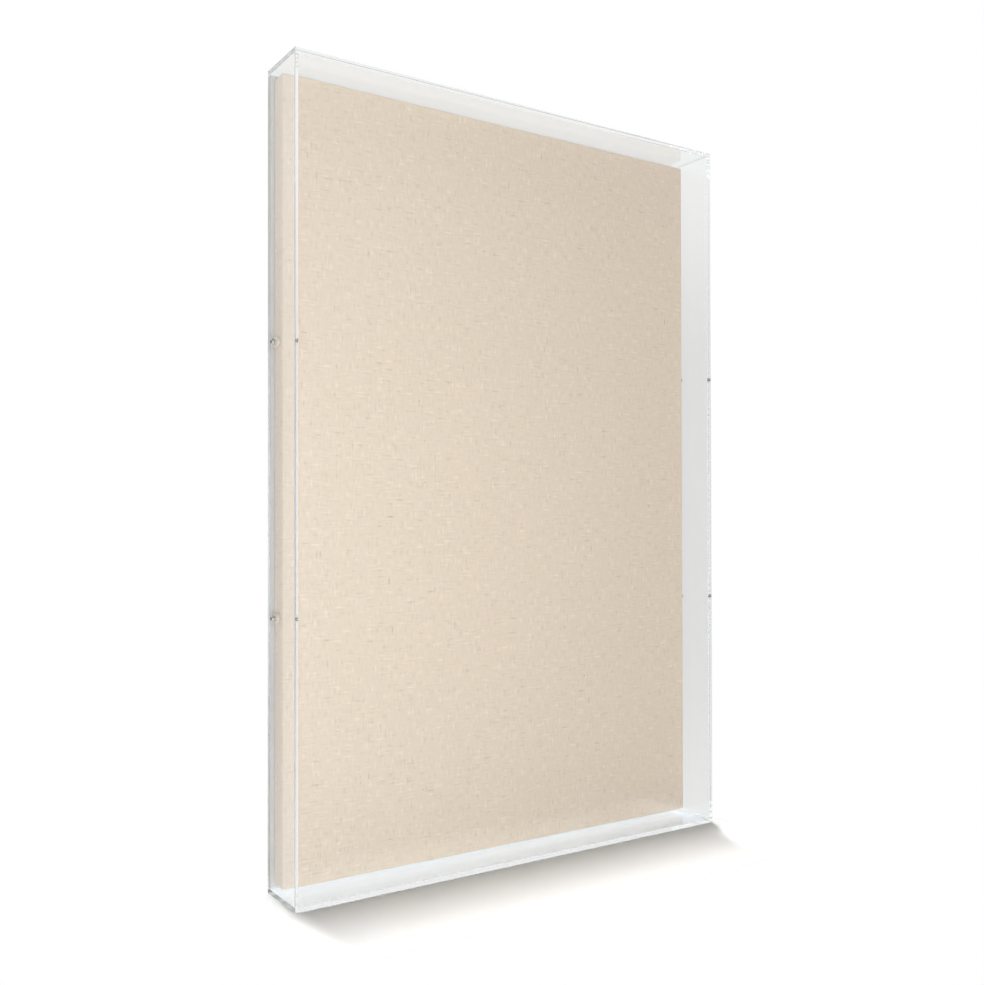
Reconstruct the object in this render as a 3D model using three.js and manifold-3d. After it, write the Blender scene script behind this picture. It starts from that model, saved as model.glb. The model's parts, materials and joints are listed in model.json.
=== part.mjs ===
// Acrylic shadow box: a clear five-sided cover over a linen-wrapped slab, which four side screws hold
// in the cover with an even reveal all round. Millimetres, +Z up, front towards -Y.
// The origin is on the surface that the box stands on, in the middle of its width and depth.

import * as THREE from 'three';
import { mergeVertices } from 'three/addons/utils/BufferGeometryUtils.js';
import Module from 'manifold-3d';

// Clear cover
const WIDTH = 609.6;
const HEIGHT = 914.4;
const DEPTH = 76.2;
const SHEET = 4.5;
const CEMENT = 0.1;

// Linen-wrapped slab
const REVEAL = 4.5;
const LINEN = 0.7;
const TURN_IN = 30;
const BOARD = 4.5;
const RAIL_DEPTH = 18;
const RAIL_WIDTH = 45;
const BRACE_WIDTH = 45;
const BLOCK_LEG = 60;
const BLOCK_DEPTH = 9;

// Back plate and its screws
const PLATE = 3;
const PLATE_PLAY = 0.4;
const BACK_SCREW = { shank: 3, length: 16, head: 6, rim: 0.6, crown: 1.8 };
const BACK_SCREW_MARGIN = 110;

// Side screws and their spacers
const SIDE_SCREW = { shank: 4, length: 26, head: 7.6, rim: 0.6, crown: 2.2 };
const SOCKET_FLATS = 2.5;
const SOCKET_DEPTH = 1.4;
const SIDE_SCREW_PITCH = 304.8;
const SPACER_DIAMETER = 12;

// Hangers
const HANGER_DROP = 228;
const STRAP_WIDTH = 14;
const STRAP_LENGTH = 44;
const STRAP_THICKNESS = 1.2;
const STRAP_SCREW_PITCH = 11;
const RING_WIRE = 2.5;
const RING_RADIUS = 11;
const RING_SIDE = 6;
const RING_CORNER = 3;
const RING_PLAY = 0.25;

// Bumpers
const BUMPER_DIAMETER = 14;
const BUMPER_FLAT = 8;
const BUMPER_SIDE = 3;
const BUMPER_HEIGHT = 6;
const BUMPER_MARGIN = 24;

// Clearances: pieces that lie on each other, a screw in its hole, and the mitred rail ends
const FIT = 0.2;
const SCREW_PLAY = 0.3;
const MITRE_GAP = 0.3;

// Facets round a circle, over a dome, round a wire and along half of a hanger ring
const FACETS = 18;
const DOME_STEPS = 3;
const WIRE_FACETS = 8;
const RING_STEPS = 14;

// Planes across the depth, from the front to the wall that the box hangs on
const FRONT_Y = -(DEPTH + FIT + BUMPER_HEIGHT) / 2;
const WALL_FRONT_Y = FRONT_Y + SHEET + CEMENT;
const BACK_Y = FRONT_Y + DEPTH;
const SLAB_BACK_Y = BACK_Y - PLATE - FIT;
const RAIL_BACK_Y = SLAB_BACK_Y - LINEN - FIT;
const RAIL_FRONT_Y = RAIL_BACK_Y - RAIL_DEPTH;
const BOARD_BACK_Y = RAIL_FRONT_Y - FIT;
const BOARD_FRONT_Y = BOARD_BACK_Y - BOARD;
const SLAB_FRONT_Y = BOARD_FRONT_Y - FIT - LINEN;
const SIDE_SCREW_Y = (SLAB_FRONT_Y + SLAB_BACK_Y) / 2;

// Widths and heights of the nested layers
const MIDDLE_Z = HEIGHT / 2;
const INSIDE = { w: WIDTH - 2 * SHEET, h: HEIGHT - 2 * SHEET };
const SLAB = { w: INSIDE.w - 2 * REVEAL, h: INSIDE.h - 2 * REVEAL, d: SLAB_BACK_Y - SLAB_FRONT_Y };
const CORE = { w: SLAB.w - 2 * (LINEN + FIT), h: SLAB.h - 2 * (LINEN + FIT) };
const STRAINER_HOLE = { w: CORE.w - 2 * RAIL_WIDTH, h: CORE.h - 2 * RAIL_WIDTH };
const RAIL_X = (CORE.w - RAIL_WIDTH) / 2;
const RAIL_Z = (CORE.h - RAIL_WIDTH) / 2;

const wasm = await Module();
wasm.setup();

const shadowBox = new THREE.Group();

const clearAcrylic = new THREE.MeshStandardMaterial({
  color: '#f2f6f6',
  roughness: 0.04,
  metalness: 0,
  transparent: true,
  opacity: 0.25,
});
const naturalLinen = new THREE.MeshStandardMaterial({ color: '#e0d5c6', roughness: 0.9, metalness: 0 });
const greyBoard = new THREE.MeshStandardMaterial({ color: '#d9d6ce', roughness: 0.9, metalness: 0 });
const pine = new THREE.MeshStandardMaterial({ color: '#d8b98a', roughness: 0.7, metalness: 0 });
const whiteHardboard = new THREE.MeshStandardMaterial({ color: '#e9e8e4', roughness: 0.6, metalness: 0 });
const steel = new THREE.MeshStandardMaterial({ color: '#c4c6c8', roughness: 0.3, metalness: 1 });
const nylon = new THREE.MeshStandardMaterial({ color: '#eceae4', roughness: 0.5, metalness: 0 });
const greyRubber = new THREE.MeshStandardMaterial({ color: '#4a4a4a', roughness: 0.8, metalness: 0 });

function add(name, geometry, material, x, y, z) {
  const mesh = new THREE.Mesh(geometry, material);
  mesh.name = name;
  mesh.position.set(x, y, z);
  shadowBox.add(mesh);
  return mesh;
}

// Cutting and joining closed geometries

function toSolid(geometry) {
  const bare = geometry.clone();
  bare.deleteAttribute('normal');
  bare.deleteAttribute('uv');
  const merged = mergeVertices(bare, 1e-4);
  return new wasm.Manifold(new wasm.Mesh({
    numProp: 3,
    vertProperties: new Float32Array(merged.attributes.position.array),
    triVerts: new Uint32Array(merged.index.array),
  }));
}

function toGeometry(solid) {
  const { vertProperties, triVerts } = solid.getMesh();
  const geometry = new THREE.BufferGeometry();
  geometry.setAttribute('position', new THREE.BufferAttribute(vertProperties, 3));
  geometry.setIndex(new THREE.BufferAttribute(triVerts, 1));
  geometry.computeVertexNormals();
  return geometry;
}

function cut(geometry, tools) {
  return toGeometry(tools.reduce((solid, tool) => solid.subtract(toSolid(tool)), toSolid(geometry)));
}

function join(first, second) {
  return toGeometry(toSolid(first).add(toSolid(second)));
}

// Cuts round holes into a geometry that will be placed at (x, y, z). Holes are given in the part's frame.
function drill(geometry, holes, x, y, z) {
  return cut(geometry, holes.map((hole) => hole.clone().translate(-x, -y, -z)));
}

// An outline drawn in X and Z, with its thickness from y = 0 towards the back
function slab(outline, thickness) {
  const geometry = new THREE.ExtrudeGeometry(outline, {
    depth: thickness,
    bevelEnabled: false,
    curveSegments: FACETS,
  });
  return geometry.rotateX(Math.PI / 2).translate(0, thickness, 0);
}

function polygon(points) {
  return new THREE.Shape(points.map(([x, z]) => new THREE.Vector2(x, z)));
}

function turned(profile) {
  return new THREE.LatheGeometry(profile.map(([r, y]) => new THREE.Vector2(r, y)), FACETS);
}

// The rounded edge of a turned profile, from its side up to its flat top
function domeProfile(radius, flat, side, top) {
  return Array.from({ length: DOME_STEPS + 1 }, (_, step) => {
    const angle = (Math.PI / 2) * (step / DOME_STEPS);
    return [flat + (radius - flat) * Math.cos(angle), side + (top - side) * Math.sin(angle)];
  });
}

// A ring along Y, centred on its length
function tube(outerRadius, innerRadius, length) {
  const half = length / 2;
  const wall = [[innerRadius, -half], [outerRadius, -half], [outerRadius, half], [innerRadius, half]];
  return turned([...wall, wall[0]]);
}

// A screw along +Y with its head's seat at y = 0, and the hole that it needs
function screwGeometry({ shank, length, head, rim, crown }) {
  const radius = shank / 2;
  const flat = shank / 4;
  return turned([
    [0, -length],
    [radius, radius - length],
    [radius, 0],
    [head / 2, 0],
    ...domeProfile(head / 2, flat, rim, crown),
    [0, crown],
  ]);
}

function socketScrewGeometry(sizes) {
  const reach = 1;
  const socket = new THREE.CylinderGeometry(
    SOCKET_FLATS / Math.sqrt(3),
    SOCKET_FLATS / Math.sqrt(3),
    SOCKET_DEPTH + reach,
    6,
  );
  socket.translate(0, sizes.crown + (reach - SOCKET_DEPTH) / 2, 0);
  return cut(screwGeometry(sizes), [socket]);
}

function screwHole({ shank, length, crown }) {
  const radius = shank / 2 + SCREW_PLAY;
  const depth = length + SCREW_PLAY + crown;
  return new THREE.CylinderGeometry(radius, radius, depth, FACETS).translate(0, crown - depth / 2, 0);
}

// Where every screw goes: its place, its outward turn about Z, and the hole that it makes
const sideScrews = [['left', -1], ['right', 1]].flatMap(([side, sign]) =>
  [['upper', 1], ['lower', -1]].map(([level, up]) => {
    const turn = -sign * Math.PI / 2;
    const x = sign * (WIDTH / 2 + FIT);
    const z = MIDDLE_Z + up * SIDE_SCREW_PITCH / 2;
    const hole = screwHole(SIDE_SCREW).rotateZ(turn).translate(x, SIDE_SCREW_Y, z);
    return { name: `${side}_${level}`, sign, turn, x, z, hole };
  }));

const HANGER_Z = HEIGHT - HANGER_DROP;
const LOOP_INNER = RING_WIRE / 2 + RING_PLAY;
const LOOP_OUTER = LOOP_INNER + STRAP_THICKNESS;
const STRAP_Y = BACK_Y + FIT;
const PIVOT_Y = STRAP_Y + LOOP_OUTER;
const STRAP_END_Z = HANGER_Z - STRAP_LENGTH;

function backScrew(name, x, seatY, z) {
  const hole = screwHole(BACK_SCREW).translate(x, seatY, z);
  return { name, x, y: seatY + FIT, z, hole };
}

const plateScrews = [
  ...[['left', -1], ['right', 1]].flatMap(([side, sign]) => [
    backScrew(`back_screw_${side}_upper`, sign * RAIL_X, BACK_Y, HEIGHT - BACK_SCREW_MARGIN),
    backScrew(`back_screw_${side}_lower`, sign * RAIL_X, BACK_Y, BACK_SCREW_MARGIN),
  ]),
  ...[['top', 1], ['bottom', -1]].flatMap(([end, up]) => [
    backScrew(`back_screw_${end}_left`, BACK_SCREW_MARGIN - WIDTH / 2, BACK_Y, MIDDLE_Z + up * RAIL_Z),
    backScrew(`back_screw_${end}_right`, WIDTH / 2 - BACK_SCREW_MARGIN, BACK_Y, MIDDLE_Z + up * RAIL_Z),
  ]),
];

const hangers = [['left', -1], ['right', 1]].map(([side, sign]) => {
  const x = sign * RAIL_X;
  const seatY = STRAP_Y + STRAP_THICKNESS;
  const lowerZ = STRAP_END_Z + STRAP_WIDTH / 2;
  const screws = [
    backScrew(`${side}_hanger_screw_upper`, x, seatY, lowerZ + STRAP_SCREW_PITCH),
    backScrew(`${side}_hanger_screw_lower`, x, seatY, lowerZ),
  ];
  return { side, x, screws };
});

const backScrews = [...plateScrews, ...hangers.flatMap((hanger) => hanger.screws)];
const sideHoles = sideScrews.map((screw) => screw.hole);
const backHoles = backScrews.map((screw) => screw.hole);

// Clear cover: the front covers the walls' front edges, and the top and bottom cover the sides' ends
{
  const wallDepth = BACK_Y - WALL_FRONT_Y;
  const wallY = (BACK_Y + WALL_FRONT_Y) / 2;
  const frontGeometry = new THREE.BoxGeometry(WIDTH, SHEET, HEIGHT);
  add('front_panel', frontGeometry, clearAcrylic, 0, FRONT_Y + SHEET / 2, MIDDLE_Z);

  const capGeometry = new THREE.BoxGeometry(WIDTH, wallDepth, SHEET);
  add('top_wall', capGeometry, clearAcrylic, 0, wallY, HEIGHT - SHEET / 2);
  add('bottom_wall', capGeometry, clearAcrylic, 0, wallY, SHEET / 2);

  const sideGeometry = new THREE.BoxGeometry(SHEET, wallDepth, INSIDE.h - 2 * CEMENT);
  for (const [name, sign] of [['left_wall', -1], ['right_wall', 1]]) {
    const x = sign * (WIDTH - SHEET) / 2;
    const holes = sideScrews.filter((screw) => screw.sign === sign).map((screw) => screw.hole);
    add(name, drill(sideGeometry, holes, x, wallY, MIDDLE_Z), clearAcrylic, x, wallY, MIDDLE_Z);
  }
}

// Side screws, and the spacers that carry each wall against the slab
{
  const screw = socketScrewGeometry(SIDE_SCREW);
  const spacer = tube(SPACER_DIAMETER / 2, SIDE_SCREW.shank / 2 + SCREW_PLAY, REVEAL - 2 * FIT);
  const spacerX = (INSIDE.w - REVEAL) / 2;
  for (const { name, sign, turn, x, z } of sideScrews) {
    add(`${name}_screw`, screw, steel, x, SIDE_SCREW_Y, z).rotation.z = turn;
    add(`${name}_spacer`, spacer, nylon, sign * spacerX, SIDE_SCREW_Y, z).rotation.z = turn;
  }
}

// Linen: one cloth over the front and the sides, turned in over the back of the rails
{
  const y = (SLAB_FRONT_Y + SLAB_BACK_Y) / 2;
  const outside = new THREE.BoxGeometry(SLAB.w, SLAB.d, SLAB.h);
  const inside = new THREE.BoxGeometry(SLAB.w - 2 * LINEN, SLAB.d - 2 * LINEN, SLAB.h - 2 * LINEN);
  const window = new THREE.BoxGeometry(SLAB.w - 2 * TURN_IN, SLAB.d, SLAB.h - 2 * TURN_IN);
  window.translate(0, SLAB.d / 2, 0);
  const wrap = cut(outside, [inside, window]);
  const holes = [...sideHoles, ...backHoles];
  add('linen_wrap', drill(wrap, holes, 0, y, MIDDLE_Z), naturalLinen, 0, y, MIDDLE_Z);
}

// Board under the linen
add(
  'mount_board',
  new THREE.BoxGeometry(CORE.w, BOARD, CORE.h),
  greyBoard,
  0,
  (BOARD_FRONT_Y + BOARD_BACK_Y) / 2,
  MIDDLE_Z,
);

// Strainer: four mitred rails, a brace across the middle and a block in each corner
{
  const railOutline = (length) => {
    const outer = length / 2 - MITRE_GAP / Math.SQRT2;
    const inner = outer - RAIL_WIDTH;
    return polygon([[-outer, 0], [outer, 0], [inner, -RAIL_WIDTH], [-inner, -RAIL_WIDTH]]);
  };
  const rails = [
    ['top_rail', CORE.w, 0, 0, CORE.h / 2],
    ['bottom_rail', CORE.w, Math.PI, 0, -CORE.h / 2],
    ['left_rail', CORE.h, -Math.PI / 2, -CORE.w / 2, 0],
    ['right_rail', CORE.h, Math.PI / 2, CORE.w / 2, 0],
  ];
  for (const [name, length, turn, x, z] of rails) {
    const rail = slab(railOutline(length), RAIL_DEPTH).rotateY(turn);
    const place = [x, RAIL_FRONT_Y, MIDDLE_Z + z];
    add(name, drill(rail, [...sideHoles, ...backHoles], ...place), pine, ...place);
  }

  const brace = new THREE.BoxGeometry(STRAINER_HOLE.w - 2 * FIT, RAIL_DEPTH, BRACE_WIDTH);
  add('cross_brace', brace, pine, 0, (RAIL_FRONT_Y + RAIL_BACK_Y) / 2, MIDDLE_Z);

  for (const [end, up] of [['top', 1], ['bottom', -1]]) {
    for (const [side, sign] of [['left', -1], ['right', 1]]) {
      const corner = [[0, 0], [-sign * BLOCK_LEG, 0], [0, -up * BLOCK_LEG]];
      const x = sign * (STRAINER_HOLE.w / 2 - FIT);
      const z = MIDDLE_Z + up * (STRAINER_HOLE.h / 2 - FIT);
      add(`corner_block_${end}_${side}`, slab(polygon(corner), BLOCK_DEPTH), pine, x, RAIL_FRONT_Y, z);
    }
  }
}

// Back plate, inside the walls and level with their back edges
{
  const y = BACK_Y - PLATE / 2;
  const plate = new THREE.BoxGeometry(INSIDE.w - 2 * PLATE_PLAY, PLATE, INSIDE.h - 2 * PLATE_PLAY);
  add('back_plate', drill(plate, backHoles, 0, y, MIDDLE_Z), whiteHardboard, 0, y, MIDDLE_Z);

  const screw = screwGeometry(BACK_SCREW);
  for (const { name, x, y: seat, z } of backScrews) {
    add(name, screw, steel, x, seat, z);
  }
}

// Hanger strap: a strip with a round lower end, curled at the top round the ring's bar
function strapGeometry() {
  const half = STRAP_WIDTH / 2;
  const outline = new THREE.Shape();
  outline.moveTo(half, 0);
  outline.lineTo(-half, 0);
  outline.lineTo(-half, half - STRAP_LENGTH);
  outline.absarc(0, half - STRAP_LENGTH, half, Math.PI, 2 * Math.PI, false);
  const loop = tube(LOOP_OUTER, LOOP_INNER, STRAP_WIDTH).rotateZ(Math.PI / 2).translate(0, LOOP_OUTER, 0);
  return join(slab(outline, STRAP_THICKNESS), loop);
}

// Hanger ring: a wire bent into a D that hangs from its straight bar, which lies on the axis
function ringGeometry() {
  const bend = RING_RADIUS - RING_CORNER;
  const path = new THREE.Path();
  path.moveTo(bend, 0);
  path.lineTo(-bend, 0);
  path.absarc(-bend, -RING_CORNER, RING_CORNER, Math.PI / 2, Math.PI, false);
  path.lineTo(-RING_RADIUS, -RING_SIDE);
  path.absarc(0, -RING_SIDE, RING_RADIUS, Math.PI, 2 * Math.PI, false);
  path.lineTo(RING_RADIUS, -RING_CORNER);
  path.absarc(bend, -RING_CORNER, RING_CORNER, 0, Math.PI / 2, false);
  const points = path.getSpacedPoints(2 * RING_STEPS).slice(0, -1);

  const positions = [];
  const index = [];
  const count = points.length;
  points.forEach((point, i) => {
    const ahead = points[(i + 1) % count];
    const behind = points[(i + count - 1) % count];
    const along = ahead.clone().sub(behind).normalize();
    for (let j = 0; j < WIRE_FACETS; j += 1) {
      const angle = (2 * Math.PI * j) / WIRE_FACETS;
      const out = (RING_WIRE / 2) * Math.cos(angle);
      const back = (RING_WIRE / 2) * Math.sin(angle);
      positions.push(point.x - along.y * out, back, point.y + along.x * out);
      const a = i * WIRE_FACETS + j;
      const b = i * WIRE_FACETS + ((j + 1) % WIRE_FACETS);
      const c = ((i + 1) % count) * WIRE_FACETS + j;
      const d = ((i + 1) % count) * WIRE_FACETS + ((j + 1) % WIRE_FACETS);
      index.push(a, c, b, b, c, d);
    }
  });
  const geometry = new THREE.BufferGeometry();
  geometry.setAttribute('position', new THREE.Float32BufferAttribute(positions, 3));
  geometry.setIndex(index);
  geometry.computeVertexNormals();
  return geometry;
}

{
  const seats = hangers.flatMap((hanger) => hanger.screws.map((screw) => screw.hole));
  const strap = strapGeometry();
  const ring = ringGeometry();
  for (const { side, x } of hangers) {
    const drilled = drill(strap, seats, x, STRAP_Y, HANGER_Z);
    add(`${side}_hanger_strap`, drilled, steel, x, STRAP_Y, HANGER_Z);
    add(`${side}_hanger_ring`, ring, steel, x, PIVOT_Y, HANGER_Z);
  }
}

// Bumpers on the corners of the back plate
{
  const radius = BUMPER_DIAMETER / 2;
  const dome = domeProfile(radius, BUMPER_FLAT / 2, BUMPER_SIDE, BUMPER_HEIGHT);
  const bumper = turned([[0, 0], [radius, 0], ...dome, [0, BUMPER_HEIGHT]]);
  for (const [end, up] of [['top', 1], ['bottom', -1]]) {
    for (const [side, sign] of [['left', -1], ['right', 1]]) {
      const x = sign * (WIDTH / 2 - BUMPER_MARGIN);
      const z = MIDDLE_Z + up * (HEIGHT / 2 - BUMPER_MARGIN);
      add(`bumper_${end}_${side}`, bumper, greyRubber, x, BACK_Y + FIT, z);
    }
  }
}

export default shadowBox;
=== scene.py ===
import json
import math

import bmesh
import bpy
from bpy.props import FloatProperty, FloatVectorProperty, PointerProperty
from mathutils import Matrix, Vector, noise


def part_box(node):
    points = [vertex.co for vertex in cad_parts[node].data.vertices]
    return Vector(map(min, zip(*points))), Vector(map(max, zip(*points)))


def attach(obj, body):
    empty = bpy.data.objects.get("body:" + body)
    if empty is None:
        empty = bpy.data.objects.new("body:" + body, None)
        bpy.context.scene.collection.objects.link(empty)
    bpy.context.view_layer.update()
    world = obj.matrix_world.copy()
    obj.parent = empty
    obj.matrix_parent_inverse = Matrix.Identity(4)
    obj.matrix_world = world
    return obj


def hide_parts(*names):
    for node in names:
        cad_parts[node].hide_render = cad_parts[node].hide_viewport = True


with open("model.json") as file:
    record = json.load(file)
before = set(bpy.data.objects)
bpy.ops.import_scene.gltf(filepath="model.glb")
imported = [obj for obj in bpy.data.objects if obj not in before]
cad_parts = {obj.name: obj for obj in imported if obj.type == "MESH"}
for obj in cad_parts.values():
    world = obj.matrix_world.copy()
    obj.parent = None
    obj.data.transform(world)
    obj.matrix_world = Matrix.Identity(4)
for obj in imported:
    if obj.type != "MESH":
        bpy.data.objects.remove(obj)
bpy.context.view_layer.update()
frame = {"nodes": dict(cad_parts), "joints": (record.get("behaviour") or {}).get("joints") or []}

bl_info = {
    "name": "Acrylic Shadow Box",
    "version": (1, 0, 0),
    "blender": (4, 5, 0),
    "location": "View3D > Sidebar > Shadow Box",
    "description": "Dresses a clear cover over a linen-wrapped slab, with its screws, hangers and studio",
    "category": "Object",
}

MM = 0.001
WELD = 0.01 * MM
FACETS = 48

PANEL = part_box("front_panel")
SIDE_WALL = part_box("left_wall")
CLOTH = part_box("linen_wrap")
RING_JOINTS = {joint["child"]: joint for joint in frame["joints"] if joint["type"] == "hinge"}

SIDES = (("left", -1), ("right", 1))
LEVELS = ("upper", "lower")
ENDS = ("top", "bottom")
SIDE_SCREWS = [f"{side}_{level}_screw" for side, _ in SIDES for level in LEVELS]
BACK_SCREWS = [
    *[f"back_screw_{side}_{level}" for side, _ in SIDES for level in LEVELS],
    *[f"back_screw_{end}_{side}" for end in ENDS for side, _ in SIDES],
    *[f"{side}_hanger_screw_{level}" for side, _ in SIDES for level in LEVELS],
]


def linear(code):
    """An sRGB hex colour as linear red, green, blue and alpha."""
    parts = [int(code[at:at + 2], 16) / 255 for at in (1, 3, 5)]
    parts = [part / 12.92 if part <= 0.04045 else ((part + 0.055) / 1.055) ** 2.4 for part in parts]
    return (*parts, 1.0)


def length(name, description, millimetres):
    return FloatProperty(name=name, description=description, default=millimetres * MM, min=0, unit="LENGTH",
                         precision=5)


def colour(name, description, code):
    return FloatVectorProperty(name=name, description=description, default=linear(code), size=4, min=0, max=1,
                               subtype="COLOR")


def power(name, description, watts):
    return FloatProperty(name=name, description=description, default=watts, min=0, unit="POWER")


class ShadowBoxSizes(bpy.types.PropertyGroup):
    """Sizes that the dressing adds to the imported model."""

    arris: length("Polished arris", "Rounding of the cover's edges", 0.4)
    cloth_fold: length("Front fold radius", "Rounding of the linen over the slab's front edges", 2.2)
    back_fold: length("Back fold radius", "Rounding of the linen over the back edges of the rails", 4.5)
    side_hole: length("Side screw hole", "Radius of the holes that the side screws pass through", 2.3)
    back_hole: length("Back screw hole", "Radius of the linen's holes round the back screws", 1.8)
    cloth_thickness: length("Linen thickness", "Thickness of the linen", 0.6)
    turn_in: length("Turn-in", "Width of the linen turned in over the back of the rails", 30)
    pleat: length("Corner pleat", "Height of the folded linen at the slab's corners", 0.5)
    thread_pitch: length("Thread pitch", "Pitch of the side screws' thread", 1.6)
    thread_depth: length("Thread depth", "Height of the side screws' thread over its root", 0.5)
    plain_shank: length("Plain shank", "Unthreaded length under a side screw's head", 9.5)
    plate_arris: length("Plate edge", "Rounding of the back plate's edges", 0.3)
    strap_arris: length("Strap edge", "Rounding of the stamped straps' edges", 0.25)


class ShadowBoxColours(bpy.types.PropertyGroup):
    """Colours of the finishes."""

    linen_light: colour("Linen, light threads", "Bleached threads of the linen", "#f0dbc5")
    linen_dark: colour("Linen, dark threads", "Natural threads and flecks of the linen", "#8a7860")
    acrylic: colour("Acrylic", "Tint of the clear sheet", "#fdfefe")
    acrylic_edge: colour("Acrylic edge", "Colour that long paths inside the sheet keep", "#e3e8e7")
    steel: colour("Nickel plate", "Plated screws, straps and rings", "#cfcbc4")
    # Painted shade: this dark grey stands for the shade inside the screws' sockets.
    socket: colour("Bare steel", "Inside the sockets of the screws", "#2c2a28")
    nylon: colour("Nylon", "Natural spacers", "#d2c8b8")
    plate: colour("Back plate", "White paint on the hardboard", "#d1d0cd")
    sawn: colour("Hardboard edge", "Sawn edges of the back plate", "#655d54")
    pine: colour("Pine", "Planed rails and blocks", "#d9b98a")
    pulp: colour("Grey board", "Board under the linen", "#c9c6bd")
    rubber: colour("Rubber", "Bumpers", "#3f3f40")


class ShadowBoxStage(bpy.types.PropertyGroup):
    """The studio round the box."""

    floor: colour("Floor", "Matt white floor", "#efefee")
    walls: FloatProperty(name="Studio walls", description="Brightness of the white walls", default=0.98,
                         min=0, subtype="FACTOR")
    overhead: power("Overhead light", "Light on the floor from above", 3200)
    top: power("Top light", "Soft light above and behind the box", 11)
    beside: power("Lights beside", "Light at the ends of the box, for each square metre of its lights", 6.7)
    front: power("Front light", "Cool soft light in front, on the left", 19.4)
    foot: power("Foot light", "Light under the clear foot of the box", 0.056)


def add_node(tree, kind, inputs=None, **settings):
    """Adds a shader node. Each input is a value, or the socket or node that feeds it."""
    made = tree.nodes.new("ShaderNode" + kind)
    for name, value in settings.items():
        setattr(made, name, value)
    for name, value in (inputs or {}).items():
        if isinstance(value, bpy.types.Node):
            value = next(socket for socket in value.outputs if socket.enabled)
        if isinstance(value, bpy.types.NodeSocket):
            tree.links.new(value, made.inputs[name])
        else:
            made.inputs[name].default_value = value
    return made


def new_material(name):
    """A material without nodes, and its node tree."""
    made = bpy.data.materials.new(name)
    made.use_nodes = True
    made.node_tree.nodes.clear()
    return made, made.node_tree


def repeats(millimetres):
    """The scale of a pattern: how often one of this size repeats in a metre."""
    return 1 / (millimetres * MM)


def cast_acrylic(colours):
    # Clear cast acrylic with polished edges: water-clear sheet with sharp reflections. The faces keep
    # the faint roughness that wiping leaves, in soft clouds about 80 mm across.
    made, tree = new_material("cast_acrylic_polished")
    place = add_node(tree, "TexCoord").outputs["Object"]
    wiped = add_node(tree, "TexNoise", {"Vector": place, "Scale": repeats(80), "Detail": 2.0})
    rough = add_node(tree, "MapRange", {
        "Value": wiped, "From Min": 0.35, "From Max": 0.7, "To Min": 0.0, "To Max": 0.012,
    })
    shader = add_node(tree, "BsdfPrincipled", {
        "Base Color": colours.acrylic,
        "Roughness": rough,
        "IOR": 1.49,
        "Transmission Weight": 1.0,
    })
    # Light that runs along inside a sheet is dimmed a little, so the edges are greyer than the faces.
    depth = add_node(tree, "VolumeAbsorption", {"Color": colours.acrylic_edge, "Density": 2.0})
    add_node(tree, "OutputMaterial", {"Surface": shader, "Volume": depth})
    return made


def plain_weave_linen(colours):
    # Plain-woven natural linen, stretched flat: a matt cloth whose threads thicken into slubs, with a few
    # dark flecks of straw. The threads are about 0.6 mm apart, which is less than a pixel in the picture,
    # so the slubs are what shows: 3 to 9 mm long and about 1.2 mm wide.
    made, tree = new_material("linen_plain_woven")
    cloth = add_node(tree, "UVMap", uv_map="cloth")
    # How often the threads thicken and thin in a metre of cloth, across it and up it.
    weft = {"Scale": (75, 450, 1)}
    warp = {"Scale": (450, 90, 1), "Location": (3.1, 7.7, 5.0)}
    threads = []
    tones = []
    for yarn in (weft, warp):
        place = add_node(tree, "Mapping", {"Vector": cloth, **yarn})
        thread = add_node(tree, "TexNoise", {"Vector": place, "Scale": 1.0, "Detail": 0.4, "Roughness": 0.5})
        # Most threads differ little from each other, and the few slubs differ much, as the cube makes them.
        uneven = add_node(tree, "Math", {0: thread, 1: 0.5}, operation="SUBTRACT")
        slub = add_node(tree, "Math", {0: uneven, 1: 3.0}, operation="POWER")
        faint = add_node(tree, "Math", {0: uneven, 1: 0.01}, operation="MULTIPLY")
        threads.append(thread)
        tones.append(add_node(tree, "Math", {0: slub, 1: 6.5, 2: faint}, operation="MULTIPLY_ADD"))
    fleck_place = add_node(tree, "Mapping", {"Vector": cloth, "Scale": (330, 480, 1)})
    fleck = add_node(tree, "TexNoise", {"Vector": fleck_place, "Scale": 1.0, "Detail": 1.0})
    dark = add_node(tree, "MapRange", {
        "Value": fleck, "From Min": 0.72, "From Max": 0.8, "To Min": 0.16, "To Max": 0.8,
    })
    slubs = add_node(tree, "Math", {0: tones[0], 1: tones[1]}, operation="ADD")
    amount = add_node(tree, "Math", {0: slubs, 1: dark}, operation="ADD", use_clamp=True)
    tone = add_node(tree, "Mix", {0: amount, 6: colours.linen_light, 7: colours.linen_dark}, data_type="RGBA")
    waves = [add_node(tree, "TexWave", {"Vector": cloth, "Scale": 265.0, "Distortion": 0.6, "Detail": 1.0},
                      bands_direction=direction).outputs["Fac"] for direction in "XY"]
    weave = add_node(tree, "Math", {0: waves[0], 1: waves[1]}, operation="MULTIPLY")
    relief = add_node(tree, "Math", {0: weave, 1: threads[0]}, operation="ADD")
    relief = add_node(tree, "Math", {0: relief, 1: threads[1]}, operation="ADD")
    bump = add_node(tree, "Bump", {"Height": relief, "Strength": 0.35, "Distance": 0.3 * MM})
    shader = add_node(tree, "BsdfPrincipled", {
        "Base Color": tone,
        "Roughness": 0.9,
        "Sheen Weight": 0.15,
        "Sheen Roughness": 0.5,
        "Specular IOR Level": 0.2,
        "Normal": bump,
    })
    add_node(tree, "OutputMaterial", {"Surface": shader})
    return made


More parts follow.
